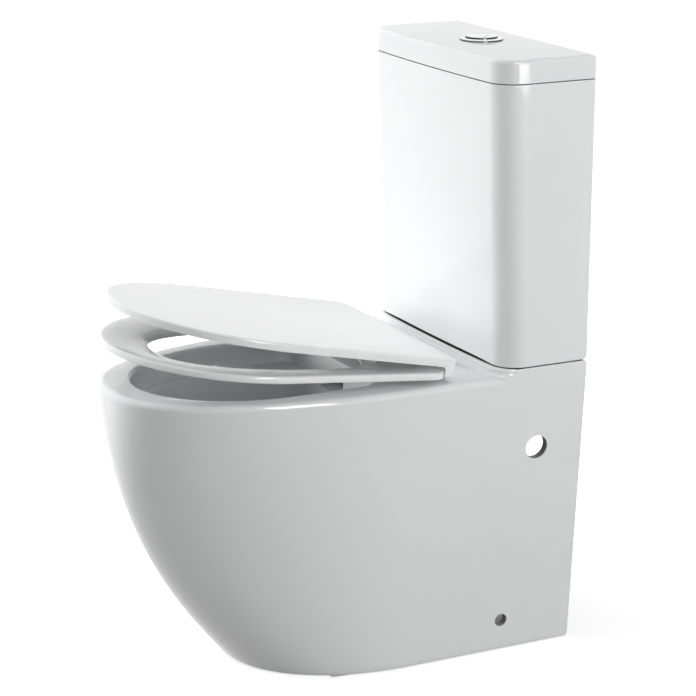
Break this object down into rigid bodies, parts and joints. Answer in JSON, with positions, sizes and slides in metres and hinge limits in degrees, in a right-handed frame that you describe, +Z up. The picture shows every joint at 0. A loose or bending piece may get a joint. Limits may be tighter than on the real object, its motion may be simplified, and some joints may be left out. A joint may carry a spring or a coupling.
{
  "type": "back to wall toilet",
  "caption": "Close coupled back to wall toilet: skirted rimless pan, slim cistern with a split flush button, and a soft closing seat and cover held part open.",
  "frame": {"origin": "centre of the bounding box on the floor", "axes": "+Z up, -Y towards the front of the pan, +Y towards the wall"},
  "size_m": [0.367, 0.618, 0.8258],
  "materials": {
    "china": "glazed vitreous china",
    "seat_white": "gloss",
    "chromed_plastic": "chromed",
    "chrome": "polished",
    "rubber": "matte",
    "buffer_grey": "matte",
    "valve_white": "satin",
    "valve_blue": "satin",
    "brass": "satin",
    "steel": "satin"
  },
  "bodies": {
    "toilet": {"pan": "china", "cistern": "china", "cistern_pads": "rubber", "coupling_gasket": "rubber", "tank_bolts": "brass", "bolt_seals": "rubber", "bolt_washers": "steel", "wing_nuts": "brass", "flush_valve_base": "valve_white", "flush_valve_washer": "rubber", "flush_valve_nut": "valve_white", "flush_valve_cage": "valve_white", "flush_valve_head": "valve_blue", "fill_valve_stem": "valve_white", "fill_valve_washer": "rubber", "fill_valve_nut": "valve_white", "fill_valve_head": "valve_blue", "hinge_posts": "chrome", "hinge_bases": "chrome", "hinge_pins": "steel", "hinge_screws": "steel", "expanding_bushes": "rubber", "bush_nuts": "brass"},
    "lid": {"cistern_lid": "china", "button_bezel": "chromed_plastic", "button_nut": "valve_white", "full_button_spring": "steel", "half_button_spring": "steel"},
    "full_key": {"full_flush_button": "chromed_plastic", "full_flush_rod": "valve_white"},
    "half_key": {"half_flush_button": "chromed_plastic", "half_flush_rod": "valve_white"},
    "full_plunger": {"full_flush_plunger": "valve_white"},
    "half_plunger": {"half_flush_plunger": "valve_white"},
    "valve_lift": {"overflow_tube": "valve_white", "flush_seal": "rubber", "flush_float": "valve_blue"},
    "fill_float": {"fill_valve_float": "valve_white"},
    "fill_lever": {"fill_valve_lever": "valve_blue"},
    "seat": {"seat_ring": "seat_white", "seat_buffers": "buffer_grey", "seat_damper": "valve_white"},
    "cover": {"seat_cover": "seat_white", "cover_buffers": "buffer_grey", "cover_damper": "valve_white"}
  },
  "joints": [
    {"name": "lid_lift", "type": "slide", "parent": "toilet", "child": "lid", "axis": [0, 0, 1], "range_m": [0, 0.1]},
    {"name": "full_flush", "type": "slide", "parent": "lid", "child": "full_key", "axis": [0, 0, -1], "range_m": [0, 0.006], "stiffness_N_per_m": 600, "springref_m": -0.006, "deforming": ["full_button_spring"]},
    {"name": "half_flush", "type": "slide", "parent": "lid", "child": "half_key", "axis": [0, 0, -1], "range_m": [0, 0.006], "stiffness_N_per_m": 600, "springref_m": -0.006, "deforming": ["half_button_spring"]},
    {"name": "full_plunger_slide", "type": "slide", "parent": "toilet", "child": "full_plunger", "axis": [0, 0, -1], "range_m": [0, 0.006]},
    {"name": "half_plunger_slide", "type": "slide", "parent": "toilet", "child": "half_plunger", "axis": [0, 0, -1], "range_m": [0, 0.006]},
    {"name": "valve_lift_slide", "type": "slide", "parent": "toilet", "child": "valve_lift", "axis": [0, 0, 1], "range_m": [0, 0.02]},
    {"name": "float_rise", "type": "slide", "parent": "toilet", "child": "fill_float", "axis": [0, 0, 1], "range_m": [0, 0.006]},
    {"name": "lever_tilt", "type": "hinge", "parent": "toilet", "child": "fill_lever", "pos_m": [-0.125, 0.241, 0.6943], "axis": [0, -1, 0], "range_deg": [0, 10]},
    {"name": "seat_hinge", "type": "hinge", "parent": "toilet", "child": "seat", "pos_m": [0, 0.107, 0.4175], "axis": [-1, 0, 0], "range_deg": [-6.17, 83.83]},
    {"name": "cover_hinge", "type": "hinge", "parent": "seat", "child": "cover", "pos_m": [0, 0.107, 0.4175], "axis": [1, 0, 0], "range_deg": [-83.83, 5.9]}
  ],
  "couplings": [
    {"joint": "full_plunger_slide", "follows": "full_flush", "ratio": 1},
    {"joint": "half_plunger_slide", "follows": "half_flush", "ratio": 1},
    {"joint": "valve_lift_slide", "follows": "full_flush", "ratio": 3.3333},
    {"joint": "lever_tilt", "follows": "float_rise", "rad_per_m": 29.07}
  ]
}
